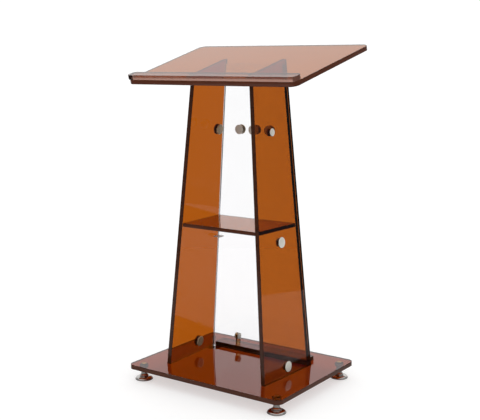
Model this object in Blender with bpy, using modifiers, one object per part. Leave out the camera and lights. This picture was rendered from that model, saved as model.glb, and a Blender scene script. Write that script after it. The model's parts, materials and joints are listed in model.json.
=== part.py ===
"""Presentation lectern in tinted sheet: two splayed sides, a clear front panel, a shelf and a sloping desk
on a base plate with four levelling feet. X is the width, +Y the audience's side, Z up from the floor."""

import math

import bmesh
import bpy
from mathutils import Matrix, Vector

# ---- driving dimensions, in metres and radians ----

GAP = 0.0003

BASE_WIDTH = 0.600
BASE_DEPTH = 0.468
BASE_THICKNESS = 0.015
BASE_CORNER_RADIUS = 0.022
BASE_UNDERSIDE_HEIGHT = 0.0405

SIDE_THICKNESS = 0.015
SIDE_HALF_SPREAD = 0.2026  # outer face from the centre line, at the base, midway front to back
SIDE_SPLAY = 0.0827  # how far each side leans in for each metre of height
SIDE_TOE_OUT = 0.040  # how far each side turns out for each metre towards the audience
SIDE_NEAR_Y = -0.1553  # speaker's edge of a side, at the base
SIDE_FAR_Y = 0.1072  # audience's edge of a side, at the base
SIDE_NEAR_LEAN = 0.0458
SIDE_FAR_LEAN = -0.0332

CLEAR_THICKNESS = 0.015

SHELF_THICKNESS = 0.012
SHELF_TOP_HEIGHT = 0.5344
SHELF_SETBACK = 0.002

DESK_NEAR_WIDTH = 0.638  # along the low edge, on the speaker's side
DESK_FAR_WIDTH = 0.674  # along the high edge
DESK_DEPTH = 0.436
DESK_THICKNESS = 0.015
DESK_CORNER_RADIUS = 0.024
DESK_TILT = math.radians(15.0)
DESK_LOW_Y = -0.188
DESK_LOW_HEIGHT = 0.982

STOP_DEPTH = 0.042
STOP_THICKNESS = 0.015
STOP_CORNER_RADIUS = 0.014

RAIL_WIDTH = 0.372
RAIL_DEPTH = 0.050
RAIL_THICKNESS = 0.0145

TAB_X = -0.105
TAB_THICKNESS = 0.006
TAB_WIDTH = 0.020
TAB_HEIGHT = 0.038
TAB_SCREW_DROP = 0.010  # screw's axis below the top of the tab

CORNER_PLATE_LEG = 0.026
CORNER_PLATE_THICKNESS = 0.004
CORNER_PLATE_HEIGHT = 0.462

SHANK_RADIUS = 0.004
CAP_THICKNESS = 0.005
CAP_EDGE = 0.0012
LARGE_CAP_RADIUS = 0.0155
MEDIUM_CAP_RADIUS = 0.0142
SMALL_CAP_RADIUS = 0.0110
NUT_FLOOR = 0.0015  # metal left at the closed end of a cap nut

SIGN_BOLT_HEIGHT = 0.833
SIGN_BOLT_SPACING = 0.054

FOOT_INSET_X = 0.035
FOOT_INSET_Y = 0.040
FOOT_PAD_RADIUS = 0.030
FOOT_PAD_HEIGHT = 0.0115
FOOT_SHOULDER_RADIUS = 0.0165
FOOT_RUBBER_RADIUS = 0.024
FOOT_RUBBER_THICKNESS = 0.002
FOOT_NECK_RADIUS = 0.0145
FOOT_NECK_WAIST = 0.0095
FOOT_STUD_RADIUS = 0.005
FOOT_STUD_LENGTH = 0.0105
FOOT_SPIGOT_RADIUS = 0.006
FOOT_SPIGOT_LENGTH = 0.005
INSERT_RADIUS = 0.009
INSERT_LENGTH = 0.0125
INSERT_WALL_TOP = 0.0012

SHEET_EDGE = 0.0006
FINE_EDGE = 0.0004
TURNED_STEPS = 28
CORNER_SEGMENTS = 6
HALF_SPACE_SIZE = 2.0
CUT_MARGIN = 0.002

BASE_TOP = BASE_UNDERSIDE_HEIGHT + BASE_THICKNESS
UP = Vector((0.0, 0.0, 1.0))


# ---- collections and materials ----

for old in list(bpy.data.objects):
    bpy.data.objects.remove(old, do_unlink=True)

parts = bpy.data.collections.new("presentation_lectern")
cutters = bpy.data.collections.new("cutters")
bpy.context.scene.collection.children.link(parts)
bpy.context.scene.collection.children.link(cutters)


def material(name, colour, roughness, metallic=0.0, transmission=0.0):
    made = bpy.data.materials.new(name)
    made.use_nodes = True
    made.diffuse_color = (*colour, 1.0)
    shader = made.node_tree.nodes["Principled BSDF"]
    shader.inputs["Base Color"].default_value = (*colour, 1.0)
    shader.inputs["Roughness"].default_value = roughness
    shader.inputs["Metallic"].default_value = metallic
    shader.inputs["Transmission Weight"].default_value = transmission
    return made


AMBER_SHEET = material("amber_sheet", (0.36, 0.11, 0.02), 0.05, transmission=0.85)
CLEAR_SHEET = material("clear_sheet", (0.93, 0.94, 0.96), 0.04, transmission=0.95)
PALE_SHEET = material("pale_sheet", (0.62, 0.42, 0.36), 0.04, transmission=0.90)
CHROME = material("chrome", (0.72, 0.72, 0.70), 0.12, metallic=1.0)
BRASS = material("brass", (0.62, 0.47, 0.20), 0.30, metallic=1.0)
RUBBER = material("rubber", (0.03, 0.03, 0.03), 0.80)


# ---- modelling helpers ----


def adopt(made, name, finish, home=parts):
    """Names an object, gives it its finish and moves it to its collection."""
    made.name = name
    made.data.name = name
    for owner in list(made.users_collection):
        owner.objects.unlink(made)
    home.objects.link(made)
    if home is cutters:
        made.hide_render = True
        made.display_type = "WIRE"
    else:
        made.data.materials.append(finish)
    return made


def block(name, size, frame, finish=None, home=parts):
    """A box of this size, centred on a frame."""
    bpy.ops.mesh.primitive_cube_add(size=1.0)
    made = bpy.context.active_object
    made.data.transform(Matrix.Diagonal((*size, 1.0)))
    made.matrix_world = frame
    return adopt(made, name, finish, home)


def round_upright_corners(plate, radius):
    """Rounds the four edges of a box that run along its own Z."""
    shape = bmesh.new()
    shape.from_mesh(plate.data)
    upright = [
        edge
        for edge in shape.edges
        if abs((edge.verts[0].co - edge.verts[1].co).normalized().dot(UP)) > 0.99
    ]
    bmesh.ops.bevel(
        shape, geom=upright, offset=radius, segments=CORNER_SEGMENTS, profile=0.5, affect="EDGES"
    )
    shape.to_mesh(plate.data)
    shape.free()


def ease_edges(piece, width):
    """A polished edge: a small chamfer along every sharp edge."""
    edge = piece.modifiers.new("polished_edge", "BEVEL")
    edge.width = width
    edge.segments = 1
    edge.limit_method = "ANGLE"
    edge.angle_limit = math.radians(40.0)


def boolean(piece, other, operation="DIFFERENCE"):
    step = piece.modifiers.new(operation.lower() + "_" + other.name, "BOOLEAN")
    step.operation = operation
    step.solver = "EXACT"
    step.object = other


def half_space(name, point, direction):
    """A cutter that takes away everything beyond a plane."""
    turn = direction.to_track_quat("Z", "Y").to_matrix().to_4x4()
    frame = Matrix.Translation(point + direction.normalized() * HALF_SPACE_SIZE / 2) @ turn
    return block(name, (HALF_SPACE_SIZE,) * 3, frame, home=cutters)


def turned(name, profile, frame, finish=None, home=parts):
    """A profile of (radius, height) points, listed down its outer side, turned about the frame's Z."""
    outline = bpy.data.meshes.new(name)
    points = [(radius, 0.0, height) for radius, height in profile]
    outline.from_pydata(points, [(i, i + 1) for i in range(len(points) - 1)], [])
    made = bpy.data.objects.new(name, outline)
    bpy.context.scene.collection.objects.link(made)
    made.matrix_world = frame
    screw = made.modifiers.new("turn", "SCREW")
    screw.axis = "Z"
    screw.steps = TURNED_STEPS
    screw.render_steps = TURNED_STEPS
    screw.use_merge_vertices = True
    screw.merge_threshold = 0.00001
    screw.use_smooth_shade = True
    return adopt(made, name, finish, home)


def drill(name, radius, top, bottom, frame):
    """A round cutter along the frame's Z, from one height to another."""
    return turned(name, [(0.0, top), (radius, top), (radius, bottom), (0.0, bottom)], frame, home=cutters)


def frame_at(point, outward):
    return Matrix.Translation(point) @ outward.to_track_quat("Z", "Y").to_matrix().to_4x4()


# ---- the planes that the sheets share ----


def side_outward(side):
    """The outward normal of a side: -1 is the speaker's left, +1 the right."""
    return Vector((side, -SIDE_TOE_OUT, SIDE_SPLAY)).normalized()


def side_point(side, y, z, depth=0.0):
    """The point of a side's outer face at this y and z, then this far into the sheet."""
    x = SIDE_HALF_SPREAD + SIDE_TOE_OUT * y - SIDE_SPLAY * (z - BASE_TOP)
    return Vector((side * x, y, z)) - side_outward(side) * depth


def near_edge_y(z):
    return SIDE_NEAR_Y + SIDE_NEAR_LEAN * (z - BASE_TOP)


def far_edge_y(z):
    return SIDE_FAR_Y + SIDE_FAR_LEAN * (z - BASE_TOP)


DESK_NORMAL = Vector((0.0, -math.sin(DESK_TILT), math.cos(DESK_TILT)))
DESK_FRAME = Matrix.Translation((0.0, DESK_LOW_Y, DESK_LOW_HEIGHT)) @ Matrix.Rotation(DESK_TILT, 4, "X")
CLEAR_OUTWARD = Vector((0.0, 1.0, -SIDE_FAR_LEAN)).normalized()
CLEAR_REAR = Vector((0.0, SIDE_FAR_Y, BASE_TOP))
CLEAR_FRONT = CLEAR_REAR - CLEAR_OUTWARD * CLEAR_THICKNESS


def desk_underside_height(y):
    return DESK_LOW_HEIGHT + (y - DESK_LOW_Y) * math.tan(DESK_TILT)


below_base_top = half_space("below_base_top", Vector((0.0, 0.0, BASE_TOP + GAP)), -UP)
above_desk_underside = half_space(
    "above_desk_underside", DESK_FRAME.translation - DESK_NORMAL * GAP, DESK_NORMAL
)
beyond_inner_face = {
    side: half_space(
        "beyond_inner_face_" + label,
        side_point(side, 0.0, BASE_TOP, SIDE_THICKNESS + GAP),
        side_outward(side),
    )
    for side, label in ((-1, "left"), (1, "right"))
}
beyond_clear_front = half_space("beyond_clear_front", CLEAR_FRONT - CLEAR_OUTWARD * GAP, CLEAR_OUTWARD)


# ---- base plate ----

base_plate = block(
    "base_plate",
    (BASE_WIDTH, BASE_DEPTH, BASE_THICKNESS),
    Matrix.Translation((0.0, 0.0, BASE_UNDERSIDE_HEIGHT + BASE_THICKNESS / 2)),
    AMBER_SHEET,
)
round_upright_corners(base_plate, BASE_CORNER_RADIUS)
ease_edges(base_plate, SHEET_EDGE)


# ---- sides ----


def side_sheet(side, label):
    """A tapering sheet drawn past the base and the desk, then trimmed to them."""
    outward = side_outward(side)
    upward = (UP - outward * UP.dot(outward)).normalized()
    along = upward.cross(outward)
    origin = side_point(side, 0.0, BASE_TOP)
    low = BASE_TOP - SIDE_THICKNESS
    high = desk_underside_height(SIDE_FAR_Y) + SIDE_THICKNESS
    outline = [
        (near_edge_y(low), low),
        (far_edge_y(low), low),
        (far_edge_y(high), high),
        (near_edge_y(high), high),
    ]
    turn = Matrix((along, upward, outward)).transposed().to_4x4()
    frame = Matrix.Translation(origin - outward * SIDE_THICKNESS / 2) @ turn

    curve = bpy.data.curves.new("side_outline_" + label, "CURVE")
    curve.dimensions = "2D"
    curve.fill_mode = "BOTH"
    curve.extrude = SIDE_THICKNESS / 2
    spline = curve.splines.new("POLY")
    spline.points.add(len(outline) - 1)
    spline.use_cyclic_u = True
    for point, (y, z) in zip(spline.points, outline):
        across = side_point(side, y, z) - origin
        point.co = (across.dot(along), across.dot(upward), 0.0, 1.0)
    drawn = bpy.data.objects.new("side_outline_" + label, curve)
    bpy.context.scene.collection.objects.link(drawn)
    bpy.context.view_layer.update()
    sheet = bpy.data.meshes.new_from_object(drawn.evaluated_get(bpy.context.evaluated_depsgraph_get()))
    bpy.data.objects.remove(drawn, do_unlink=True)

    shape = bmesh.new()
    shape.from_mesh(sheet)
    bmesh.ops.remove_doubles(shape, verts=shape.verts, dist=0.00001)
    bmesh.ops.recalc_face_normals(shape, faces=shape.faces)
    shape.to_mesh(sheet)
    shape.free()
    made = bpy.data.objects.new("side_panel_" + label, sheet)
    bpy.context.scene.collection.objects.link(made)
    made.matrix_world = frame
    adopt(made, "side_panel_" + label, AMBER_SHEET)
    boolean(made, below_base_top)
    boolean(made, above_desk_underside)
    ease_edges(made, SHEET_EDGE)
    return made


sides = {-1: side_sheet(-1, "left"), 1: side_sheet(1, "right")}


# ---- clear front panel, on the audience's side ----

clear_turn = CLEAR_OUTWARD.to_track_quat("Y", "Z").to_matrix().to_4x4()
front_panel = block(
    "front_panel_clear",
    (2 * SIDE_HALF_SPREAD, CLEAR_THICKNESS, 2 * DESK_LOW_HEIGHT),
    Matrix.Translation(CLEAR_REAR - CLEAR_OUTWARD * CLEAR_THICKNESS / 2) @ clear_turn,
    CLEAR_SHEET,
)
for cutter in (beyond_inner_face[-1], beyond_inner_face[1], below_base_top, above_desk_underside):
    boolean(front_panel, cutter)
ease_edges(front_panel, FINE_EDGE)


# ---- shelf ----

shelf_middle_height = SHELF_TOP_HEIGHT - SHELF_THICKNESS / 2
shelf_near_y = near_edge_y(SHELF_TOP_HEIGHT) + SHELF_SETBACK
shelf = block(
    "shelf",
    (2 * SIDE_HALF_SPREAD, BASE_DEPTH, SHELF_THICKNESS),
    Matrix.Translation((0.0, shelf_near_y + BASE_DEPTH / 2, shelf_middle_height)),
    AMBER_SHEET,
)
for cutter in (beyond_inner_face[-1], beyond_inner_face[1], beyond_clear_front):
    boolean(shelf, cutter)
ease_edges(shelf, FINE_EDGE)


# ---- desk and the strip that stops a book ----


def widen_far_edge(plate, near, far, depth):
    """Turns a plate as wide as its near edge into a trapezium, along the line through both edges."""
    shape = bmesh.new()
    shape.from_mesh(plate.data)
    for vert in shape.verts:
        share = (vert.co.y + depth / 2) / depth
        vert.co.x *= 1.0 + share * (far / near - 1.0)
    shape.to_mesh(plate.data)
    shape.free()


def desk_half_width(along):
    """Half the desk's width this far up the slope from its low edge."""
    return (DESK_NEAR_WIDTH + (DESK_FAR_WIDTH - DESK_NEAR_WIDTH) * along / DESK_DEPTH) / 2


desk_top = block(
    "desk_top",
    (DESK_NEAR_WIDTH, DESK_DEPTH, DESK_THICKNESS),
    DESK_FRAME @ Matrix.Translation((0.0, DESK_DEPTH / 2, DESK_THICKNESS / 2)),
    AMBER_SHEET,
)
widen_far_edge(desk_top, DESK_NEAR_WIDTH, DESK_FAR_WIDTH, DESK_DEPTH)
round_upright_corners(desk_top, DESK_CORNER_RADIUS)
ease_edges(desk_top, SHEET_EDGE)

book_stop = block(
    "book_stop",
    (DESK_NEAR_WIDTH, STOP_DEPTH, STOP_THICKNESS),
    DESK_FRAME @ Matrix.Translation((0.0, STOP_DEPTH / 2, DESK_THICKNESS + GAP + STOP_THICKNESS / 2)),
    PALE_SHEET,
)
widen_far_edge(book_stop, DESK_NEAR_WIDTH, 2 * desk_half_width(STOP_DEPTH), STOP_DEPTH)
round_upright_corners(book_stop, STOP_CORNER_RADIUS)
ease_edges(book_stop, SHEET_EDGE)


# ---- rail behind the clear panel, with its upright tab ----

rail_near_y = SIDE_FAR_Y + 2 * GAP
rail_top = BASE_TOP + GAP + RAIL_THICKNESS
rear_rail = block(
    "rear_rail",
    (RAIL_WIDTH, RAIL_DEPTH, RAIL_THICKNESS),
    Matrix.Translation((0.0, rail_near_y + RAIL_DEPTH / 2, rail_top - RAIL_THICKNESS / 2)),
    AMBER_SHEET,
)
ease_edges(rear_rail, FINE_EDGE)

tab_y = rail_near_y + RAIL_DEPTH / 2
tab_foot = rail_top + GAP
rail_tab = block(
    "rail_tab",
    (TAB_THICKNESS, TAB_WIDTH, TAB_HEIGHT),
    Matrix.Translation((TAB_X, tab_y, tab_foot + TAB_HEIGHT / 2)),
    AMBER_SHEET,
)


def round_tab_top(tab, radius):
    """Rounds the two upper edges of the tab that run through its thickness."""
    shape = bmesh.new()
    shape.from_mesh(tab.data)
    upper = [
        edge
        for edge in shape.edges
        if all(v.co.z > 0 for v in edge.verts) and abs(edge.verts[0].co.y - edge.verts[1].co.y) < GAP
    ]
    bmesh.ops.bevel(shape, geom=upper, offset=radius, segments=CORNER_SEGMENTS, profile=0.5, affect="EDGES")
    shape.to_mesh(tab.data)
    shape.free()


round_tab_top(rail_tab, TAB_WIDTH / 2 - FINE_EDGE)


# ---- bolts: a round cap with its shank, and a cap nut on the far face ----


def cap_bolt(name, frame, grip, cap_radius, nut_radius):
    """Goes through a stack this thick, from the frame's origin down the frame's Z."""
    nut_top = -grip - GAP
    shank_end = nut_top - CAP_THICKNESS + NUT_FLOOR + GAP
    head = [
        (0.0, GAP + CAP_THICKNESS),
        (cap_radius - CAP_EDGE, GAP + CAP_THICKNESS),
        (cap_radius, GAP + CAP_THICKNESS - CAP_EDGE),
        (cap_radius, GAP),
        (SHANK_RADIUS, GAP),
        (SHANK_RADIUS, shank_end),
        (0.0, shank_end),
    ]
    bore = SHANK_RADIUS + GAP
    nut_floor = nut_top - CAP_THICKNESS + NUT_FLOOR
    nut = [
        (0.0, nut_floor),
        (bore, nut_floor),
        (bore, nut_top),
        (nut_radius, nut_top),
        (nut_radius, nut_top - CAP_THICKNESS + CAP_EDGE),
        (nut_radius - CAP_EDGE, nut_top - CAP_THICKNESS),
        (0.0, nut_top - CAP_THICKNESS),
    ]
    turned(name + "_bolt", head, frame, CHROME)
    turned(name + "_nut", nut, frame, CHROME)
    return drill(name + "_hole", SHANK_RADIUS + GAP, CUT_MARGIN, -grip - CUT_MARGIN, frame)


# name, side, y, height, cap radius, nut radius
SIDE_BOLTS = (
    ("left_upper", -1, 0.048, 0.833, LARGE_CAP_RADIUS, LARGE_CAP_RADIUS),
    ("left_lower", -1, 0.009, 0.097, LARGE_CAP_RADIUS, LARGE_CAP_RADIUS),
    ("right_upper", 1, -0.033, 0.837, SMALL_CAP_RADIUS, SMALL_CAP_RADIUS),
    ("right_shelf", 1, -0.019, 0.488, LARGE_CAP_RADIUS, SMALL_CAP_RADIUS),
    ("right_lower", 1, -0.026, 0.088, LARGE_CAP_RADIUS, SMALL_CAP_RADIUS),
)
for bolt, side, y, height, cap_radius, nut_radius in SIDE_BOLTS:
    frame = frame_at(side_point(side, y, height), side_outward(side))
    boolean(sides[side], cap_bolt(bolt, frame, SIDE_THICKNESS, cap_radius, nut_radius))

for index, label in ((-1, "left"), (0, "middle"), (1, "right")):
    height_up = SIGN_BOLT_HEIGHT - BASE_TOP
    on_face = CLEAR_FRONT + Vector((index * SIGN_BOLT_SPACING, SIDE_FAR_LEAN * height_up, height_up))
    hole = cap_bolt(
        "sign_" + label,
        frame_at(on_face, -CLEAR_OUTWARD),
        CLEAR_THICKNESS,
        MEDIUM_CAP_RADIUS,
        MEDIUM_CAP_RADIUS,
    )
    boolean(front_panel, hole)

tab_screw_height = tab_foot + TAB_HEIGHT - TAB_SCREW_DROP
tab_hole = cap_bolt(
    "tab",
    frame_at(Vector((TAB_X + TAB_THICKNESS / 2, tab_y, tab_screw_height)), Vector((1.0, 0.0, 0.0))),
    TAB_THICKNESS,
    SMALL_CAP_RADIUS - CAP_EDGE,
    SMALL_CAP_RADIUS - CAP_EDGE,
)
boolean(rail_tab, tab_hole)


# ---- corner plate under the shelf, between the left side and the clear panel ----

plate_middle = side_point(-1, far_edge_y(CORNER_PLATE_HEIGHT), CORNER_PLATE_HEIGHT, SIDE_THICKNESS)
corner_plate = block(
    "corner_plate",
    (2 * CORNER_PLATE_LEG, 2 * (CORNER_PLATE_LEG + CLEAR_THICKNESS), CORNER_PLATE_THICKNESS),
    Matrix.Translation(plate_middle),
    CHROME,
)
boolean(corner_plate, beyond_inner_face[-1])
boolean(corner_plate, beyond_clear_front)


# ---- levelling feet ----


def levelling_foot(label, x, y):
    """A threaded insert in the base, a neck with its stud, and a domed pad on a rubber disc."""
    frame = Matrix.Translation((x, y, 0.0))
    stud_bore = FOOT_STUD_RADIUS + GAP
    insert_top = BASE_UNDERSIDE_HEIGHT + INSERT_LENGTH
    insert = [
        (0.0, insert_top),
        (INSERT_RADIUS, insert_top),
        (INSERT_RADIUS, BASE_UNDERSIDE_HEIGHT),
        (stud_bore, BASE_UNDERSIDE_HEIGHT),
        (stud_bore, insert_top - INSERT_WALL_TOP),
        (0.0, insert_top - INSERT_WALL_TOP),
    ]
    turned("foot_insert_" + label, insert, frame, BRASS)
    hole = drill(
        "insert_hole_" + label,
        INSERT_RADIUS + GAP,
        insert_top + GAP,
        BASE_UNDERSIDE_HEIGHT - CUT_MARGIN,
        frame,
    )
    boolean(base_plate, hole)

    neck_top = BASE_UNDERSIDE_HEIGHT - GAP
    neck_bottom = FOOT_PAD_HEIGHT + GAP
    ring = (neck_top - neck_bottom) / 6
    neck = [
        (0.0, BASE_UNDERSIDE_HEIGHT + FOOT_STUD_LENGTH),
        (FOOT_STUD_RADIUS, BASE_UNDERSIDE_HEIGHT + FOOT_STUD_LENGTH),
        (FOOT_STUD_RADIUS, neck_top),
        (FOOT_NECK_RADIUS, neck_top),
        (FOOT_NECK_RADIUS, neck_top - 2 * ring),
        (FOOT_NECK_WAIST, neck_top - 2.6 * ring),
        (FOOT_NECK_WAIST, neck_bottom + 2 * ring),
        (FOOT_NECK_RADIUS, neck_bottom + ring),
        (FOOT_NECK_RADIUS, neck_bottom),
        (FOOT_SPIGOT_RADIUS, neck_bottom),
        (FOOT_SPIGOT_RADIUS, neck_bottom - FOOT_SPIGOT_LENGTH),
        (0.0, neck_bottom - FOOT_SPIGOT_LENGTH),
    ]
    turned("foot_neck_" + label, neck, frame, CHROME)

    socket = FOOT_SPIGOT_RADIUS + GAP
    socket_floor = FOOT_PAD_HEIGHT - FOOT_SPIGOT_LENGTH - GAP
    rim_height = FOOT_PAD_HEIGHT / 2
    pad = [
        (0.0, socket_floor),
        (socket, socket_floor),
        (socket, FOOT_PAD_HEIGHT),
        (FOOT_SHOULDER_RADIUS, FOOT_PAD_HEIGHT),
    ]
    for step in range(1, 5):
        turn = step / 4 * math.pi / 2
        spread = FOOT_PAD_RADIUS - FOOT_SHOULDER_RADIUS
        radius = FOOT_SHOULDER_RADIUS + spread * math.sin(turn)
        pad.append((radius, rim_height + (FOOT_PAD_HEIGHT - rim_height) * math.cos(turn)))
    rubber_seat = FOOT_RUBBER_RADIUS + GAP
    pad += [
        (FOOT_PAD_RADIUS, rim_height / 2),
        (FOOT_PAD_RADIUS - CAP_EDGE, FINE_EDGE),
        (rubber_seat, FINE_EDGE),
        (rubber_seat, FOOT_RUBBER_THICKNESS + GAP),
        (0.0, FOOT_RUBBER_THICKNESS + GAP),
    ]
    turned("foot_pad_" + label, pad, frame, CHROME)
    rubber = [
        (0.0, FOOT_RUBBER_THICKNESS),
        (FOOT_RUBBER_RADIUS, FOOT_RUBBER_THICKNESS),
        (FOOT_RUBBER_RADIUS, 0.0),
        (0.0, 0.0),
    ]
    turned("foot_rubber_" + label, rubber, frame, RUBBER)


foot_x = BASE_WIDTH / 2 - FOOT_INSET_X
foot_y = BASE_DEPTH / 2 - FOOT_INSET_Y
for depth_sign, depth_label in ((-1, "near"), (1, "far")):
    for side, side_label in ((-1, "left"), (1, "right")):
        levelling_foot(depth_label + "_" + side_label, side * foot_x, depth_sign * foot_y)
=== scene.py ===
import json
import math

import bmesh
import bpy
from mathutils import Matrix, Vector


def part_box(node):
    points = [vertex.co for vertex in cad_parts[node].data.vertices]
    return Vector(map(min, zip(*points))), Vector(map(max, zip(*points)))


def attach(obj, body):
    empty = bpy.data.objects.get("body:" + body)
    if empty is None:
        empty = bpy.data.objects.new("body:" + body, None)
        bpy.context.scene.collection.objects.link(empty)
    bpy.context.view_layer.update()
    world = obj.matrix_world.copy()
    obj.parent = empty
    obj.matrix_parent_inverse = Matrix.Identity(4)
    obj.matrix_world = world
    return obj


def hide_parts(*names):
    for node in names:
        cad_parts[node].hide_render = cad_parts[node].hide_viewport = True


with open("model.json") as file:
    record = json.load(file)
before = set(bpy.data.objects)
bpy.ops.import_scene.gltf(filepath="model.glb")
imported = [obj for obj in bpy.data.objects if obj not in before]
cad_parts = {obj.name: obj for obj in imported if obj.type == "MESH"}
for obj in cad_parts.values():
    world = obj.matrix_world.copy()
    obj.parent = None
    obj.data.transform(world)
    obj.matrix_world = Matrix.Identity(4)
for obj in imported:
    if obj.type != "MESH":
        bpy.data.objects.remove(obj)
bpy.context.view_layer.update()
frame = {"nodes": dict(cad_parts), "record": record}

nodes = frame["nodes"]
record = frame["record"]
body_of = {node: body for body, held in record["behaviour"]["bodies"].items() for node in held}


# ---- base plate ----
# One cast acrylic sheet, dyed right through in amber brown.  Its outline is routed with round
# corners, its edges are flame polished, and four blind holes under it take the foot inserts.

BASE_CORNER = 0.022
CORNER_STEPS = 16
POLISHED_EDGE = 0.0006
EDGE_STEPS = 4
HOLDING_STRIP = 0.0004
SMOOTH_BELOW = math.radians(32.0)
RIM_SLOPE = 0.5
INSERT_CLEARANCE = 0.0003
HOLE_STEPS = 64
ACRYLIC_IOR = 1.49
POLISHED_ROUGHNESS = 0.02
FILM_SCALE = 14.0
CAST_WAVE_SCALE = 11.0
SCRATCH_SHARPNESS = 6.0
SCRATCH_DEPTH = 0.0000004
SAW_LINE_SCALE = 300.0
SAW_LINE_DEPTH = 0.00001
SAWN_ROUGHNESS = 0.12


def socket_or_value(tree, socket, value):
    """Sets a plain number on a socket, or links another node's output to it."""
    if isinstance(value, bpy.types.NodeSocket):
        tree.links.new(value, socket)
    else:
        socket.default_value = value


def node_maths(tree, operation, *values):
    made = tree.nodes.new("ShaderNodeMath")
    made.operation = operation
    for socket, value in zip(made.inputs, values):
        socket_or_value(tree, socket, value)
    return made.outputs[0]


def noise(tree, scale, detail, stretch=(1.0, 1.0, 1.0)):
    """Noise over the piece's own metres, drawn out where a stretch is under one."""
    place = tree.nodes.new("ShaderNodeMapping")
    place.inputs["Scale"].default_value = stretch
    tree.links.new(tree.nodes.new("ShaderNodeTexCoord").outputs["Object"], place.inputs["Vector"])
    made = tree.nodes.new("ShaderNodeTexNoise")
    made.inputs["Scale"].default_value = scale
    made.inputs["Detail"].default_value = detail
    tree.links.new(place.outputs["Vector"], made.inputs["Vector"])
    return made.outputs[0]


def bump(tree, height, depth, under=None):
    """Turns a height from 0 to 1 into relief this many metres deep, on top of another relief."""
    made = tree.nodes.new("ShaderNodeBump")
    made.inputs["Strength"].default_value = 1.0
    made.inputs["Distance"].default_value = depth
    tree.links.new(height, made.inputs["Height"])
    if under is not None:
        tree.links.new(under, made.inputs["Normal"])
    return made.outputs["Normal"]


def between(tree, low, high, share):
    """A colour that goes from low to high with the share."""
    made = tree.nodes.new("ShaderNodeMix")
    made.data_type = "RGBA"
    tree.links.new(share, made.inputs["Factor"])
    made.inputs["A"].default_value = (*low, 1.0)
    made.inputs["B"].default_value = (*high, 1.0)
    return made.outputs["Result"]


def polished_acrylic(name, dye, strength, cast_waves):
    """Clear resin with a dye all through it, slow waves from casting and fine wiping scratches.

    The waves' depth is in metres, and the dye's strength is what it takes away over a metre.
    """
    made = bpy.data.materials.new(name)
    made.use_nodes = True
    tree = made.node_tree
    shader = tree.nodes["Principled BSDF"]
    shader.inputs["Transmission Weight"].default_value = 1.0
    shader.inputs["IOR"].default_value = ACRYLIC_IOR
    shader.inputs["Roughness"].default_value = POLISHED_ROUGHNESS
    film = noise(tree, scale=FILM_SCALE, detail=4.0)
    tree.links.new(between(tree, (0.965, 0.965, 0.965), (1.0, 1.0, 1.0), film), shader.inputs["Base Color"])
    waves = bump(tree, noise(tree, scale=CAST_WAVE_SCALE, detail=1.0), cast_waves)
    scratches = noise(tree, scale=900.0, detail=2.0, stretch=(1.0, 0.03, 0.06))
    crossing = noise(tree, scale=700.0, detail=2.0, stretch=(0.04, 1.0, 0.03))
    fine = node_maths(tree, "POWER", scratches, SCRATCH_SHARPNESS)
    fine_crossing = node_maths(tree, "POWER", crossing, SCRATCH_SHARPNESS)
    marks = node_maths(tree, "ADD", fine, fine_crossing)
    tree.links.new(bump(tree, marks, SCRATCH_DEPTH, waves), shader.inputs["Normal"])
    inside = tree.nodes.new("ShaderNodeVolumeAbsorption")
    inside.inputs["Color"].default_value = (*dye, 1.0)
    inside.inputs["Density"].default_value = strength
    tree.links.new(inside.outputs["Volume"], tree.nodes["Material Output"].inputs["Volume"])
    return made


def new_piece(name, mesh_maker, finish, place=Matrix.Identity(4)):
    """Makes one object from a bmesh that the maker fills, with soft edges shaded smooth."""
    mesh = bpy.data.meshes.new(name)
    form = bmesh.new()
    mesh_maker(form)
    bmesh.ops.recalc_face_normals(form, faces=form.faces)
    form.to_mesh(mesh)
    form.free()
    mesh.shade_smooth()
    mesh.set_sharp_from_angle(angle=SMOOTH_BELOW)
    mesh.materials.append(finish)
    piece = bpy.data.objects.new(name, mesh)
    piece.matrix_world = place
    bpy.context.scene.collection.objects.link(piece)
    return piece


def stands_for(piece, node):
    """Puts the piece on its part's body, in the place of the plain part."""
    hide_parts(node)
    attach(piece, body_of[node])


def stack_rings(form, rings):
    """Skins closed rings of points, one above the other, and closes both ends."""
    loops = [[form.verts.new(point) for point in ring] for ring in rings]
    count = len(loops[0])
    for lower, upper in zip(loops, loops[1:]):
        for i in range(count):
            j = (i + 1) % count
            form.faces.new((lower[i], lower[j], upper[j], upper[i]))
    form.faces.new(reversed(loops[0]))
    form.faces.new(loops[-1])


def round_cornered(corners, radius):
    """Centres and angles of the arcs that round a convex outline, taken anticlockwise."""
    arcs = []
    count = len(corners)
    for i in range(count):
        before, here, after = (Vector(corners[(i + k) % count]) for k in (-1, 0, 1))
        come = (here - before).normalized()
        go = (after - here).normalized()
        start = math.atan2(-come.x, come.y)
        turn = math.atan2(come.x * go.y - come.y * go.x, come.dot(go))
        reach = radius * math.tan(turn / 2)
        centre = here - come * reach + Vector((-come.y, come.x)) * radius
        arcs.append((centre, start, turn))
    return arcs


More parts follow.
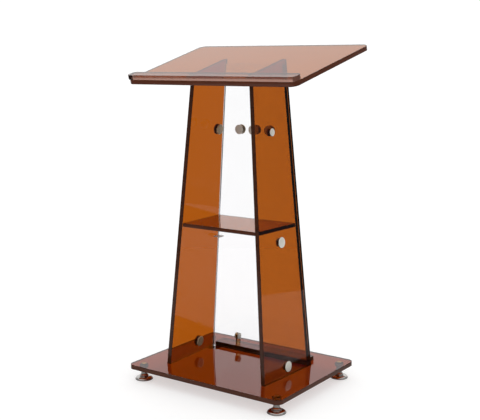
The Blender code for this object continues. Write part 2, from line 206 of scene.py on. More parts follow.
def sheet_maker(low_corners, high_corners, radius, thickness, grow=0.0):
    """A flat sheet with round corners and a softened rim, from height 0 up to its thickness.

    The outline may change from the low face to the high one.  Grow sets the rim this far
    outside the corners, where they are those of the flat face inside the rim.
    """
    both = [round_cornered(low_corners, radius), round_cornered(high_corners, radius)]

    def ring(inset, height):
        share = height / thickness
        points = []
        for (low_centre, start, turn), (high_centre, _, _) in zip(*both):
            centre = low_centre.lerp(high_centre, share)
            for step in range(CORNER_STEPS + 1):
                angle = start + turn * step / CORNER_STEPS
                spot = centre + Vector((math.cos(angle), math.sin(angle))) * (radius + grow - inset)
                points.append((spot.x, spot.y, height))
        return points

    def fill(form):
        levels = [(POLISHED_EDGE + HOLDING_STRIP, 0.0)]
        for step in range(EDGE_STEPS + 1):
            angle = math.pi / 2 * step / EDGE_STEPS
            levels.append((POLISHED_EDGE * (1 - math.sin(angle)), POLISHED_EDGE * (1 - math.cos(angle))))
        levels += [(inset, thickness - height) for inset, height in reversed(levels)]
        stack_rings(form, [ring(inset, height) for inset, height in levels])

    return fill


def give_rim_painted_shade(piece, finish, ends_only=False):
    """Gives the sheet's sawn rim and drilled walls, or only its two ends, a second material that paints
    their shade.
    """
    piece.data.materials.append(finish)
    for face in piece.data.polygons:
        on_rim = abs(face.normal.z) < RIM_SLOPE
        face.material_index = 1 if on_rim and (not ends_only or abs(face.normal.x) > RIM_SLOPE) else 0


def cut_out(piece, cutters):
    """Takes the cutters away from the piece and drops them."""
    for cutter in cutters:
        cut = piece.modifiers.new("cut", "BOOLEAN")
        cut.object = cutter
        cut.solver = "EXACT"
    bpy.context.view_layer.update()
    seen = piece.evaluated_get(bpy.context.evaluated_depsgraph_get())
    mesh = bpy.data.meshes.new_from_object(seen)
    piece.modifiers.clear()
    piece.data = mesh
    mesh.shade_smooth()
    mesh.set_sharp_from_angle(angle=SMOOTH_BELOW)
    for cutter in cutters:
        bpy.data.objects.remove(cutter)


def painted_shade_rim(name, dark, light, lines_along):
    """Painted shade: an opaque brown stands in for the dark look that light gives a dyed sheet's rim, with
    faint saw lines.
    """
    made = bpy.data.materials.new(name)
    made.use_nodes = True
    tree = made.node_tree
    shader = tree.nodes["Principled BSDF"]
    streaks = noise(tree, scale=SAW_LINE_SCALE, detail=4.0, stretch=lines_along)
    tree.links.new(between(tree, dark, light, streaks), shader.inputs["Base Color"])
    shader.inputs["Roughness"].default_value = SAWN_ROUGHNESS
    shader.inputs["IOR"].default_value = ACRYLIC_IOR
    tree.links.new(bump(tree, streaks, SAW_LINE_DEPTH), shader.inputs["Normal"])
    return made


def over_middle(low, high, height):
    """A place at this height, over the middle of a box."""
    return Matrix.Translation(((low[0] + high[0]) / 2, (low[1] + high[1]) / 2, height))


def half_width(low, high):
    return (high[0] - low[0]) / 2


AMBER = (0.837, 0.557, 0.0)
UPRIGHT_LINES = (0.05, 0.05, 1.0)
amber_base = polished_acrylic("amber_base_sheet", AMBER, strength=400.0, cast_waves=0.00010)
# The rims of the base, shelf and rail are an opaque dark brown: painted shade in place of the clear dyed
# sheet.
amber_rim_painted_shade = painted_shade_rim("amber_sheet_rim_painted_shade", (0.024, 0.007, 0.003), (0.085, 0.024, 0.010), UPRIGHT_LINES)
base_low, base_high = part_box("base_plate")
half_x, half_y = half_width(base_low, base_high), (base_high[1] - base_low[1]) / 2
base_outline = [(-half_x, -half_y), (half_x, -half_y), (half_x, half_y), (-half_x, half_y)]
base_sheet = new_piece(
    "base_sheet",
    sheet_maker(base_outline, base_outline, BASE_CORNER, base_high[2] - base_low[2]),
    amber_base,
    over_middle(base_low, base_high, base_low[2]),
)


def turned_ring(radius, height, steps):
    return [
        (radius * math.cos(math.tau * i / steps), radius * math.sin(math.tau * i / steps), height)
        for i in range(steps)
    ]


FEET = ("near_left", "near_right", "far_left", "far_right")
foot_holes = []
for foot in FEET:
    low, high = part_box("foot_insert_" + foot)
    bore = half_width(low, high) + INSERT_CLEARANCE
    depth = high[2] - low[2] + INSERT_CLEARANCE
    foot_holes.append(
        new_piece(
            "insert_hole_" + foot,
            lambda form: stack_rings(
                form, [turned_ring(bore, -depth, HOLE_STEPS), turned_ring(bore, depth, HOLE_STEPS)]
            ),
            amber_base,
            over_middle(low, high, low[2]),
        )
    )
cut_out(base_sheet, foot_holes)
give_rim_painted_shade(base_sheet, amber_rim_painted_shade)
stands_for(base_sheet, "base_plate")


# ---- side sheets and shelf ----
# Two tall tapered sheets of amber acrylic, with less dye than the base, lean in to carry the
# desk, and a thinner one lies between them.  They are sawn, drilled, polished and cemented.

CORNER_FACE_RADIUS = 0.0008
SHANK_RADIUS = 0.004
HOLE_CLEARANCE = 0.0003
ON_FACE = 0.00005
FLAT_ENOUGH = 0.9
DRILL_REACH = 0.06
amber_side = polished_acrylic("amber_side_sheet", AMBER, strength=290.0, cast_waves=0.00010)
amber_shelf = polished_acrylic("amber_shelf_sheet", AMBER, strength=290.0, cast_waves=0.00008)
# The side sheets' rims and drilled walls are an opaque dark brown: painted shade in place of the clear dyed
# sheet.
side_rim_painted_shade = painted_shade_rim("amber_side_rim", (0.016, 0.005, 0.002), (0.060, 0.018, 0.008), (0.3, 0.3, 0.02))


def broad_side(node, facing):
    """The direction square to a part's largest flat faces, on the side that looks this way."""
    facings = {}
    for face in nodes[node].data.polygons:
        key = tuple(round(value, 2) for value in face.normal)
        facings[key] = facings.get(key, Vector()) + face.normal * face.area
    way = max(facings.values(), key=lambda total: total.length).normalized()
    return way if way.dot(facing) > 0 else -way


def flat_turn(up):
    """Turns Z towards this direction and keeps X level."""
    across = Vector((1.0, 0.0, 0.0)) if abs(up.z) > FLAT_ENOUGH else Vector((0.0, 0.0, 1.0)).cross(up)
    across.normalize()
    return Matrix((across, up.cross(across), up)).transposed().to_4x4()


def four_corners(points):
    """The corners of a flat four-sided face, anticlockwise from the lowest left one."""
    ways = ((-1, -1), (1, -1), (1, 1), (-1, 1))
    return [max(((p.x, p.y) for p in points), key=lambda p: p[0] * x + p[1] * y) for x, y in ways]


def sheet_like(name, node, facing, finish):
    """A finer sheet with the same two faces as the part that it stands for."""
    turn = flat_turn(broad_side(node, facing))
    flat = [turn.inverted() @ vert.co for vert in nodes[node].data.vertices]
    low, high = min(p.z for p in flat), max(p.z for p in flat)
    low_corners = four_corners([p for p in flat if p.z < low + ON_FACE])
    high_corners = four_corners([p for p in flat if p.z > high - ON_FACE])
    maker = sheet_maker(low_corners, high_corners, CORNER_FACE_RADIUS, high - low, POLISHED_EDGE)
    return new_piece(name, maker, finish, turn @ Matrix.Translation((0.0, 0.0, low)))


def bolt_axis(bolt):
    """The bolt's own frame: origin in the middle of its cap's outer face, Z out along its axis."""
    part = nodes[bolt].data
    along = broad_side(bolt, Vector((0.0, 0.0, 1.0)))
    widest = None
    for way in (along, -along):
        top = max(vert.co.dot(way) for vert in part.vertices)
        rim = [vert.co for vert in part.vertices if vert.co.dot(way) > top - ON_FACE]
        middle = sum(rim, Vector()) / len(rim)
        width = max((point - middle).length for point in rim)
        if widest is None or width > widest[0]:
            widest = (width, middle, way)
    turn = Vector((0.0, 0.0, 1.0)).rotation_difference(widest[2]).to_matrix().to_4x4()
    return Matrix.Translation(widest[1]) @ turn


def drill(piece, bolts):
    """Clears a hole through the sheet for each bolt's shank."""
    radius = SHANK_RADIUS + HOLE_CLEARANCE
    rings = [turned_ring(radius, height, HOLE_STEPS) for height in (-DRILL_REACH, DRILL_REACH)]
    cutters = []
    for bolt in bolts:
        maker = lambda form: stack_rings(form, rings)
        cutters.append(new_piece("drill_" + bolt, maker, amber_side, bolt_axis(bolt + "_bolt")))
    cut_out(piece, cutters)


SIDES = (
    ("side_sheet_left", "side_panel_left", -1.0, ("left_upper", "left_lower")),
    ("side_sheet_right", "side_panel_right", 1.0, ("right_upper", "right_shelf", "right_lower")),
)
for name, node, outward, bolts in SIDES:
    sheet = sheet_like(name, node, Vector((outward, 0.0, 0.0)), amber_side)
    drill(sheet, bolts)
    give_rim_painted_shade(sheet, side_rim_painted_shade)
    stands_for(sheet, node)

shelf_sheet = sheet_like("shelf_sheet", "shelf", Vector((0.0, 0.0, 1.0)), amber_shelf)
give_rim_painted_shade(shelf_sheet, amber_rim_painted_shade)
stands_for(shelf_sheet, "shelf")


# ---- clear panel ----
# A colourless acrylic sheet closes the audience's side between the two side sheets.
# It has polished edges and a row of three bolt holes for a sign.

clear_front = polished_acrylic("clear_front_sheet", (0.5, 0.5, 0.9), strength=1.5, cast_waves=0.00006)
clear_sheet = sheet_like("clear_front_sheet", "front_panel_clear", Vector((0.0, -1.0, 0.0)), clear_front)
drill(clear_sheet, ("sign_left", "sign_middle", "sign_right"))
stands_for(clear_sheet, "front_panel_clear")


# ---- desk ----
# The sloping desk is one amber acrylic sheet, a little wider along its high edge, with large
# round corners and polished edges.  It is cemented to the tops of the side sheets.

DESK_NEAR_WIDTH = 0.638
DESK_FAR_WIDTH = 0.674
DESK_CORNER = 0.024
amber_desk = polished_acrylic("amber_desk_sheet", AMBER, strength=215.0, cast_waves=0.00008)
slope_turn = flat_turn(broad_side("desk_top", Vector((0.0, 0.0, 1.0))))


def lie_on_slope(node):
    """Lowest and highest corners of a part, measured along and square to the desk."""
    flat = [slope_turn.inverted() @ vert.co for vert in nodes[node].data.vertices]
    return [min(p[i] for p in flat) for i in range(3)], [max(p[i] for p in flat) for i in range(3)]


desk_low, desk_high = lie_on_slope("desk_top")
desk_depth = desk_high[1] - desk_low[1]


def desk_half_width(along):
    return (DESK_NEAR_WIDTH + (DESK_FAR_WIDTH - DESK_NEAR_WIDTH) * along / desk_depth) / 2


def slope_sheet(name, node, corner, finish):
    """A sheet that lies on the slope with its sides flush with the desk's."""
    low, high = lie_on_slope(node)
    near, far = low[1] - desk_low[1], high[1] - desk_low[1]
    outline = [
        (-desk_half_width(near), low[1]),
        (desk_half_width(near), low[1]),
        (desk_half_width(far), high[1]),
        (-desk_half_width(far), high[1]),
    ]
    place = slope_turn @ Matrix.Translation((0.0, 0.0, low[2]))
    return new_piece(name, sheet_maker(outline, outline, corner, high[2] - low[2]), finish, place)


# The desk's rim is an opaque dark brown: painted shade in place of the clear dyed sheet.
desk_rim_painted_shade = painted_shade_rim("amber_desk_rim", (0.034, 0.009, 0.004), (0.105, 0.028, 0.012), UPRIGHT_LINES)
desk_sheet = slope_sheet("desk_sheet", "desk_top", DESK_CORNER, amber_desk)
give_rim_painted_shade(desk_sheet, desk_rim_painted_shade)
stands_for(desk_sheet, "desk_top")


# ---- book stop ----
# A strip of lightly tinted acrylic cemented along the desk's low edge keeps a book from
# sliding off.  Its ends are flush with the desk and all four corners are rounded.

STOP_CORNER = 0.014
pale_strip = polished_acrylic("pale_stop_strip", (0.5, 0.15, 0.0), strength=36.0, cast_waves=0.00006)
# The strip's two ends are an opaque brown: painted shade in place of the clear tinted strip.
stop_ends_painted_shade = painted_shade_rim("pale_stop_ends", (0.060, 0.022, 0.015), (0.160, 0.070, 0.050), (1.0, 0.05, 0.05))
stop_strip = slope_sheet("stop_strip", "book_stop", STOP_CORNER, pale_strip)
give_rim_painted_shade(stop_strip, stop_ends_painted_shade, ends_only=True)
stands_for(stop_strip, "book_stop")


# ---- rail and its tab ----
# An amber bar, sawn from more lightly dyed sheet, lies on the base behind the clear panel,
# and a small round-topped tab cemented on it carries one more bolt.

amber_rail = polished_acrylic("amber_rail_bar", AMBER, strength=200.0, cast_waves=0.00006)
rail_bar = sheet_like("rail_bar", "rear_rail", Vector((0.0, 0.0, 1.0)), amber_rail)
give_rim_painted_shade(rail_bar, amber_rim_painted_shade)
stands_for(rail_bar, "rear_rail")


def refinish(node, finish):
    for holder in nodes[node].material_slots:
        holder.material = finish


refinish("rail_tab", amber_rail)


# ---- bolts and cap nuts ----
# Turned steel, plated and brushed to a satin face.  Each bolt has a wide, slightly crowned
# cap outside the sheet and screws into a closed cap nut on the other face.

CAP_CROWN = 0.0009
CAP_RIM = 0.0011
CAP_STEPS = 96
SHANK_THREAD_PITCH = 0.0010
SHANK_THREAD_DEPTH = 0.0005
THREADED_LENGTH = 0.0032
THREAD_ROWS = 6
BORE_CHAMFER = 0.0004
AXIS_RADIUS = 0.00002
CROWN_STEPS = 8
CROWN_MEETS_RIM = 78.0
ROUGHNESS_SPREAD = 0.2
PORE_SCALE = 2600.0
PORE_DEPTH = 0.000003


def satin_metal(name, colour, dark, metallic, roughness, ring_pitch, ring_depth):
    """Plated metal with fine turning rings round its own axis, faint stains and pores."""
    made = bpy.data.materials.new(name)
    made.use_nodes = True
    tree = made.node_tree
    shader = tree.nodes["Principled BSDF"]
    shader.inputs["Metallic"].default_value = metallic
    stains = noise(tree, scale=320.0, detail=5.0)
    tree.links.new(between(tree, dark, colour, stains), shader.inputs["Base Color"])
    worn = tree.nodes.new("ShaderNodeMapRange")
    worn.inputs["To Min"].default_value = roughness * (1.0 - ROUGHNESS_SPREAD)
    worn.inputs["To Max"].default_value = roughness * (1.0 + ROUGHNESS_SPREAD)
    tree.links.new(noise(tree, scale=700.0, detail=3.0), worn.inputs["Value"])
    tree.links.new(worn.outputs["Result"], shader.inputs["Roughness"])
    apart = tree.nodes.new("ShaderNodeSeparateXYZ")
    tree.links.new(tree.nodes.new("ShaderNodeTexCoord").outputs["Object"], apart.inputs[0])
    across = node_maths(
        tree, "SQRT",
        node_maths(
            tree, "ADD",
            node_maths(tree, "MULTIPLY", apart.outputs["X"], apart.outputs["X"]),
            node_maths(tree, "MULTIPLY", apart.outputs["Y"], apart.outputs["Y"]),
        ),
    )
    rings = node_maths(tree, "SINE", node_maths(tree, "MULTIPLY", across, math.tau / ring_pitch))
    turning = bump(tree, rings, ring_depth)
    pores = noise(tree, scale=PORE_SCALE, detail=2.0)
    tree.links.new(bump(tree, pores, PORE_DEPTH, turning), shader.inputs["Normal"])
    return made


def turned_maker(profile, steps, thread=None):
    """Spins (radius, height) points round Z, from one end of the axis to the other.

    A thread is (lowest, highest, pitch, depth): a right-hand V groove cut between two heights.
    """

    def fill(form):
        rows = [profile[0]]
        for start, end in zip(profile, profile[1:]):
            straight = start[0] == end[0]
            if thread and straight and min(start[1], end[1]) < thread[1] <= max(start[1], end[1]):
                count = max(2, int(abs(end[1] - start[1]) / thread[2] * THREAD_ROWS))
                for k in range(1, count):
                    rows.append((start[0], start[1] + (end[1] - start[1]) * k / count))
            rows.append(end)
        rings = []
        for radius, height in rows:
            ring = []
            for i in range(steps):
                angle = math.tau * i / steps
                cut = 0.0
                if thread and thread[0] < height < thread[1] and radius > thread[3]:
                    phase = (height / thread[2] - i / steps) % 1.0
                    fade = min(1.0, (height - thread[0]) / thread[2], (thread[1] - height) / thread[2])
                    cut = thread[3] * (1.0 - abs(2.0 * phase - 1.0)) * fade
                spread = radius - cut
                ring.append((spread * math.cos(angle), spread * math.sin(angle), height))
            rings.append(ring)
        stack_rings(form, rings)

    return fill


def arc(centre_radius, centre_height, reach, start, end, steps):
    """Points on a circle's arc, from one angle to another in degrees."""
    points = []
    for k in range(steps + 1):
        angle = math.radians(start + (end - start) * k / steps)
        points.append((centre_radius + reach * math.cos(angle), centre_height + reach * math.sin(angle)))
    return points


def crown(reach, drop, level=0.0):
    """A shallow dome's points, from near its edge to near its middle."""
    shares = [1 - step / CROWN_STEPS for step in range(1, CROWN_STEPS)]
    return [(reach * share, level + drop * share ** 2) for share in shares]


def off_axis(profile):
    """The profile with its ends a hair off the axis, where a ring can still close them."""
    return [(max(radius, AXIS_RADIUS), height) for radius, height in profile]


def reach_in(node, place):
    """Largest radius, lowest and highest point of a part round this frame's Z."""
    local = [place.inverted() @ vert.co for vert in nodes[node].data.vertices]
    return (
        max(math.hypot(p.x, p.y) for p in local),
        min(p.z for p in local),
        max(p.z for p in local),
    )


CAP_THICKNESS = 0.005
NUT_FLOOR = 0.0015
NUT_CLEARANCE = 0.0003
satin_cap = satin_metal(
    "satin_cap", colour=(0.92, 0.91, 0.84), dark=(0.80, 0.78, 0.70),
    metallic=0.50, roughness=0.34, ring_pitch=0.00045, ring_depth=0.000006,
)
# The caps' rims and shanks get a darker, brownish mirror metal: the polish is their own, the brown colour
# is painted shade and a painted reflection of the amber sheets.
polished_rim_painted_shade = satin_metal(
    "polished_cap_rim_painted_shade", colour=(0.50, 0.42, 0.35), dark=(0.38, 0.31, 0.25),
    metallic=1.0, roughness=0.16, ring_pitch=0.00045, ring_depth=0.000001,
)
# The cap nuts are a darker, browner copy of the cap metal: painted shade for their look behind the amber
# sheets.
satin_nut_painted_shade = satin_metal(
    "satin_nut_painted_shade", colour=(0.70, 0.58, 0.42), dark=(0.54, 0.42, 0.27),
    metallic=0.60, roughness=0.34, ring_pitch=0.00045, ring_depth=0.000006,
)
BOLTS = (
    "left_upper", "left_lower", "right_upper", "right_shelf", "right_lower",
    "sign_left", "sign_middle", "sign_right", "tab",
)
for bolt in BOLTS:
    place = bolt_axis(bolt + "_bolt")
    cap_radius, shank_end, _ = reach_in(bolt + "_bolt", place)
    edge = cap_radius - CAP_RIM
    cap = [
        (0.0, shank_end),
        (SHANK_RADIUS - BORE_CHAMFER, shank_end),
        (SHANK_RADIUS, shank_end + BORE_CHAMFER),
        (SHANK_RADIUS, -CAP_THICKNESS),
    ]
    cap += arc(cap_radius - BORE_CHAMFER, -CAP_THICKNESS + BORE_CHAMFER, BORE_CHAMFER, -90, 0, 3)
    rim_arc = arc(edge, -CAP_CROWN - CAP_RIM, CAP_RIM, 0, CROWN_MEETS_RIM, 6)
    cap += rim_arc + crown(*rim_arc[-1])
    cap.append((0.0, 0.0))
    thread = (
        shank_end + BORE_CHAMFER,
        shank_end + THREADED_LENGTH,
        SHANK_THREAD_PITCH,
        SHANK_THREAD_DEPTH,
    )
    piece = new_piece(bolt + "_cap_bolt", turned_maker(off_axis(cap), CAP_STEPS, thread), satin_cap, place)
    give_rim_painted_shade(piece, polished_rim_painted_shade)
    stands_for(piece, bolt + "_bolt")

    nut_radius, nut_low, nut_high = reach_in(bolt + "_nut", place)
    bore = SHANK_RADIUS + NUT_CLEARANCE
    floor_height = nut_low + NUT_FLOOR
    nut = [(0.0, nut_low), *reversed(crown(nut_radius - CAP_RIM, CAP_CROWN, nut_low))]
    nut += arc(nut_radius - CAP_RIM, nut_low + CAP_CROWN + CAP_RIM, CAP_RIM, -CROWN_MEETS_RIM, 0, 6)
    nut += [
        (nut_radius, nut_high - BORE_CHAMFER),
        (nut_radius - BORE_CHAMFER, nut_high),
        (bore + BORE_CHAMFER, nut_high),
        (bore, nut_high - BORE_CHAMFER),
        (bore, floor_height),
        (0.0, floor_height),
    ]
    piece = new_piece(bolt + "_cap_nut", turned_maker(off_axis(nut), CAP_STEPS), satin_nut_painted_shade, place)
    stands_for(piece, bolt + "_nut")


# ---- corner plate ----
# A small square of plated steel let into the corner of the left side sheet and the clear
# panel under the shelf, stamped and brushed.

satin_plate = satin_metal(
    "satin_plate", colour=(0.86, 0.85, 0.82), dark=(0.76, 0.75, 0.72),
    metallic=0.5, roughness=0.34, ring_pitch=0.0009, ring_depth=0.000004,
)
refinish("corner_plate", satin_plate)


# ---- levelling feet ----
# Four feet screw into brass inserts in the base.  Each has a turned and chromed neck with its
# stud, a domed chrome pad that stays still while the neck turns, and a rubber disc under it.

FOOT_STEPS = 96
STUD_PITCH = 0.0015
STUD_THREAD_DEPTH = 0.0008
STUD_RADIUS = 0.005
STUD_CLEARANCE = 0.0003
SOFT_CORNER = 0.0006
INSERT_FLANGE = 0.0012
KNURLS = 32
KNURL_STEPS = 4
KNURL_DEPTH = 0.0004
SPIGOT_RADIUS = 0.006
WAIST_SHARE = 0.66
WAIST_FLARE = 0.0006
COLLAR_LOW = 0.68
WAIST_HIGH = (0.64, 0.58)
WAIST_LOW = (0.30, 0.25)
NECK_BEAD = 0.0018
NECK_BEAD_HEIGHT = 0.0021
PAD_SHOULDER = 0.0015
PAD_BEAD = 0.0016
DOME_STEP_OUT = 0.0004
DOME_STEP_DOWN = 0.0014
DOME_STEPS = 12
GROOVES = (0.018, 0.012, 0.006)
GROOVE_HALF_WIDTH = 0.001
GROOVE_DEPTH = 0.0006
RUBBER_GRAIN_DEPTH = 0.00004
bright_chrome = satin_metal(
    "bright_chrome", colour=(0.62, 0.60, 0.58), dark=(0.54, 0.52, 0.50),
    metallic=1.0, roughness=0.09, ring_pitch=0.0006, ring_depth=0.000001,
)
turned_brass = satin_metal(
    "turned_brass", colour=(0.66, 0.56, 0.42), dark=(0.54, 0.44, 0.31),
    metallic=1.0, roughness=0.30, ring_pitch=0.0006, ring_depth=0.000004,
)

black_rubber = bpy.data.materials.new("black_rubber")
black_rubber.use_nodes = True
tree = black_rubber.node_tree
rubber_shader = tree.nodes["Principled BSDF"]
dust = noise(tree, scale=260.0, detail=6.0)
dusty = between(tree, (0.012, 0.012, 0.012), (0.045, 0.043, 0.040), dust)
tree.links.new(dusty, rubber_shader.inputs["Base Color"])
rubber_shader.inputs["Roughness"].default_value = 0.85
pebbles = noise(tree, scale=1500.0, detail=3.0)
tree.links.new(bump(tree, pebbles, RUBBER_GRAIN_DEPTH), rubber_shader.inputs["Normal"])


def insert_maker(radius, height, bore, floor_height):
    """A brass bush with a plain flange and a straight knurl that grips the hole."""

    def fill(form):
        rows = [
            (AXIS_RADIUS, height, 0),
            (radius - SOFT_CORNER, height, 0),
            (radius, height - SOFT_CORNER, 1),
            (radius, INSERT_FLANGE + SOFT_CORNER, 1),
            (radius - SOFT_CORNER, INSERT_FLANGE, 0),
            (radius, INSERT_FLANGE, 0),
            (radius, SOFT_CORNER / 2, 0),
            (radius - SOFT_CORNER / 2, 0.0, 0),
            (bore + SOFT_CORNER, 0.0, 0),
            (bore, SOFT_CORNER, 0),
            (bore, floor_height, 0),
            (AXIS_RADIUS, floor_height, 0),
        ]
        steps = KNURLS * KNURL_STEPS
        rings = []
        for spread, level, knurled in rows:
            ring = []
            for i in range(steps):
                angle = math.tau * i / steps
                r = spread - knurled * KNURL_DEPTH * (0.5 - 0.5 * math.cos(angle * KNURLS))
                ring.append((r * math.cos(angle), r * math.sin(angle), level))
            rings.append(ring)
        stack_rings(form, rings)

    return fill


def softened_corner(radius, height, start, end, steps):
    """A softened corner that lies just inside this radius and just under this height."""
    return arc(radius - SOFT_CORNER, height - SOFT_CORNER, SOFT_CORNER, start, end, steps)


def neck_profile(collar, stud_top, under_base, over_pad, spigot_foot):
    """The stud, the collar under the base, the waist, the bead on the pad and the spigot in it."""
    waist = collar * WAIST_SHARE
    rise = under_base - over_pad
    collar_foot = over_pad + rise * COLLAR_LOW
    profile = [
        (AXIS_RADIUS, stud_top),
        (STUD_RADIUS - STUD_THREAD_DEPTH, stud_top),
        (STUD_RADIUS, stud_top - STUD_THREAD_DEPTH),
        (STUD_RADIUS, under_base),
    ]
    profile += softened_corner(collar, under_base, 90, 0, 4)
    profile += arc(collar - SOFT_CORNER, collar_foot + SOFT_CORNER, SOFT_CORNER, 0, -80, 4)
    profile += [
        (waist + WAIST_FLARE, over_pad + rise * WAIST_HIGH[0]),
        (waist, over_pad + rise * WAIST_HIGH[1]),
        (waist, over_pad + rise * WAIST_LOW[0]),
        (waist + WAIST_FLARE, over_pad + rise * WAIST_LOW[1]),
    ]
    profile += arc(collar - NECK_BEAD, over_pad + NECK_BEAD_HEIGHT, NECK_BEAD, 75, -75, 8)
    profile += [
        (SPIGOT_RADIUS, over_pad),
        (SPIGOT_RADIUS, spigot_foot + SOFT_CORNER),
        (SPIGOT_RADIUS - SOFT_CORNER, spigot_foot),
        (AXIS_RADIUS, spigot_foot),
    ]
    return profile


def pad_profile(rim, shoulder, top, foot_height, socket_floor, seat, seat_height):
    """The spigot's socket, the shoulder, the dome down to a beaded rim and the rubber's seat."""
    socket = SPIGOT_RADIUS + STUD_CLEARANCE
    bead_top = PAD_BEAD * 2
    profile = [
        (AXIS_RADIUS, socket_floor),
        (socket, socket_floor),
        (socket, top - SOFT_CORNER),
        (socket + SOFT_CORNER, top),
    ]
    profile += softened_corner(shoulder, top, 90, 20, 3)
    for step in range(DOME_STEPS + 1):
        angle = math.pi / 2 * step / DOME_STEPS
        spread = shoulder + DOME_STEP_OUT + (rim - PAD_BEAD - shoulder) * math.sin(angle)
        profile.append((spread, bead_top + (top - DOME_STEP_DOWN - bead_top) * math.cos(angle)))
    profile += arc(rim - PAD_BEAD, foot_height + PAD_BEAD, PAD_BEAD, 70, -80, 9)
    profile += [
        (seat + SOFT_CORNER, foot_height),
        (seat, foot_height + SOFT_CORNER),
        (seat, seat_height),
        (AXIS_RADIUS, seat_height),
    ]
    return profile


def sole_profile(radius, top):
    """A flat disc with softened edges and ring grooves in the face that meets the floor."""
    profile = [(AXIS_RADIUS, top), (radius - SOFT_CORNER, top)]
    profile += softened_corner(radius, top, 90, 0, 3)
    profile += arc(radius - SOFT_CORNER, SOFT_CORNER, SOFT_CORNER, 0, -90, 3)
    for groove in GROOVES:
        profile += [
            (groove + GROOVE_HALF_WIDTH, 0.0),
            (groove + GROOVE_DEPTH, GROOVE_DEPTH),
            (groove - GROOVE_DEPTH, GROOVE_DEPTH),
            (groove - GROOVE_HALF_WIDTH, 0.0),
        ]
    profile += [(AXIS_RADIUS, 0.0)]
    return profile


for foot in FEET:
    low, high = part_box("foot_insert_" + foot)
    place = over_middle(low, high, 0.0)
    bush_top = high[2] - low[2]
    bush_shape = insert_maker(
        half_width(low, high), bush_top, STUD_RADIUS + STUD_CLEARANCE, bush_top - INSERT_FLANGE
    )
    bush = new_piece("insert_bush_" + foot, bush_shape, turned_brass, over_middle(low, high, low[2]))
    stands_for(bush, "foot_insert_" + foot)

    pad_low, pad_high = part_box("foot_pad_" + foot)
    neck_low, neck_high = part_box("foot_neck_" + foot)
    rubber_low, rubber_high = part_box("foot_rubber_" + foot)
    collar = half_width(neck_low, neck_high)
    under_base = base_low[2] - STUD_CLEARANCE
    over_pad = pad_high[2] + STUD_CLEARANCE
    stud_top = neck_high[2]
    profile = neck_profile(collar, stud_top, under_base, over_pad, neck_low[2])
    thread = (under_base + SOFT_CORNER, stud_top - STUD_THREAD_DEPTH, STUD_PITCH, STUD_THREAD_DEPTH)
    neck = new_piece("screw_neck_" + foot, turned_maker(profile, FOOT_STEPS, thread), bright_chrome, place)
    stands_for(neck, "foot_neck_" + foot)

    rubber_radius = half_width(rubber_low, rubber_high)
    profile = pad_profile(
        rim=half_width(pad_low, pad_high),
        shoulder=collar + PAD_SHOULDER,
        top=pad_high[2],
        foot_height=pad_low[2],
        socket_floor=neck_low[2] - STUD_CLEARANCE,
        seat=rubber_radius + STUD_CLEARANCE,
        seat_height=rubber_high[2] + STUD_CLEARANCE,
    )
    pad = new_piece("domed_pad_" + foot, turned_maker(profile, FOOT_STEPS), bright_chrome, place)
    stands_for(pad, "foot_pad_" + foot)

    disc = sole_profile(rubber_radius, rubber_high[2])
    sole = new_piece("rubber_sole_" + foot, turned_maker(disc, FOOT_STEPS), black_rubber, place)
    stands_for(sole, "foot_rubber_" + foot)


# ---- studio ----
# A pale round floor that is lit from below as well as above, and one white surround.
# Only mirrored light sees the room's darker walls, its bright back wall and its ceiling.

FLOOR_RADIUS = 2.2
FLOOR_STEPS = 128
FLOOR_GLOW = 0.53
floor_paint = bpy.data.materials.new("floor_paint")
floor_paint.use_nodes = True
tree = floor_paint.node_tree
floor_shader = tree.nodes["Principled BSDF"]
grain = noise(tree, scale=40.0, detail=4.0)
pale = between(tree, (0.50, 0.50, 0.50), (0.52, 0.52, 0.52), grain)
tree.links.new(pale, floor_shader.inputs["Base Color"])
floor_shader.inputs["Roughness"].default_value = 0.9
floor_shader.inputs["Emission Color"].default_value = (1.0, 1.0, 1.0, 1.0)
path = tree.nodes.new("ShaderNodeLightPath")
once = node_maths(tree, "MINIMUM", path.outputs["Glossy Depth"], 1.0)
dimmed = node_maths(tree, "SUBTRACT", 1.0, once)
glow = node_maths(tree, "MULTIPLY", dimmed, FLOOR_GLOW)
tree.links.new(glow, floor_shader.inputs["Emission Strength"])


def floor_maker(form):
    form.faces.new([form.verts.new(point) for point in turned_ring(FLOOR_RADIUS, 0.0, FLOOR_STEPS)])


floor = new_piece("floor", floor_maker, floor_paint)

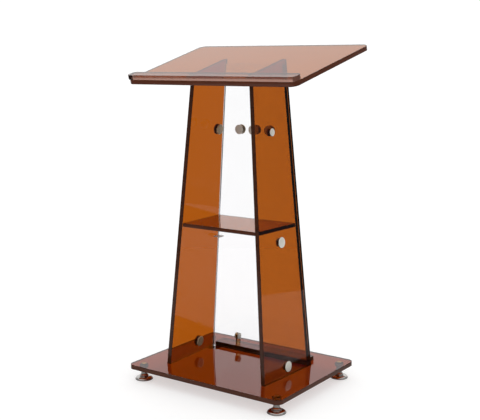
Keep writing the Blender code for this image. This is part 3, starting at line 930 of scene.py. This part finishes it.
WHITE_SURROUND = 1.08
WALL_LIGHT = 0.10
ROOM_LIGHT = 0.84
TOWARDS_BACK_WALL = (-0.57, 0.82, 0.0)
BACK_WALL_FADE = (0.35, 0.80)
CEILING_FADE = (0.30, 0.75)
scene = bpy.context.scene
scene.view_settings.view_transform = "Standard"
world = bpy.data.worlds.new("studio")
world.use_nodes = True
scene.world = world
sky = world.node_tree
background = sky.nodes["Background"]
background.inputs["Color"].default_value = (1.0, 1.0, 1.0, 1.0)


def fade_in(value, low, high):
    made = sky.nodes.new("ShaderNodeMapRange")
    made.interpolation_type = "SMOOTHSTEP"
    made.inputs["From Min"].default_value = low
    made.inputs["From Max"].default_value = high
    sky.links.new(value, made.inputs["Value"])
    return made.outputs["Result"]


direction = sky.nodes.new("ShaderNodeTexCoord").outputs["Generated"]
towards = sky.nodes.new("ShaderNodeVectorMath")
towards.operation = "DOT_PRODUCT"
towards.inputs[1].default_value = TOWARDS_BACK_WALL
sky.links.new(direction, towards.inputs[0])
apart = sky.nodes.new("ShaderNodeSeparateXYZ")
sky.links.new(direction, apart.inputs[0])
back_wall = fade_in(towards.outputs["Value"], *BACK_WALL_FADE)
ceiling = fade_in(apart.outputs["Z"], *CEILING_FADE)
bright = node_maths(sky, "MAXIMUM", back_wall, ceiling)
room = node_maths(sky, "ADD", WALL_LIGHT, node_maths(sky, "MULTIPLY", ROOM_LIGHT, bright))
path = sky.nodes.new("ShaderNodeLightPath")
mirrored = node_maths(sky, "MINIMUM", path.outputs["Glossy Depth"], 1.0)
mix = sky.nodes.new("ShaderNodeMix")
mix.data_type = "FLOAT"
sky.links.new(mirrored, mix.inputs["Factor"])
mix.inputs["A"].default_value = WHITE_SURROUND
sky.links.new(room, mix.inputs["B"])
sky.links.new(mix.outputs["Result"], background.inputs["Strength"])

CAMERA_PLACE = Vector((1.711, -2.436, 1.0545))
CAMERA_AIM = Vector((0.00815, -0.00722, 0.605))
LENS = 68.96
SENSOR_WIDTH = 36.0
SHIFT = (-0.0054, -0.0187)
camera_data = bpy.data.cameras.new("camera")
camera = bpy.data.objects.new("camera", camera_data)
scene.collection.objects.link(camera)
camera_data.lens = LENS
camera_data.sensor_width = SENSOR_WIDTH
camera_data.shift_x, camera_data.shift_y = SHIFT
camera.location = CAMERA_PLACE
look = CAMERA_AIM - CAMERA_PLACE
camera.rotation_euler = look.to_track_quat("-Z", "Y").to_euler()
scene.camera = camera
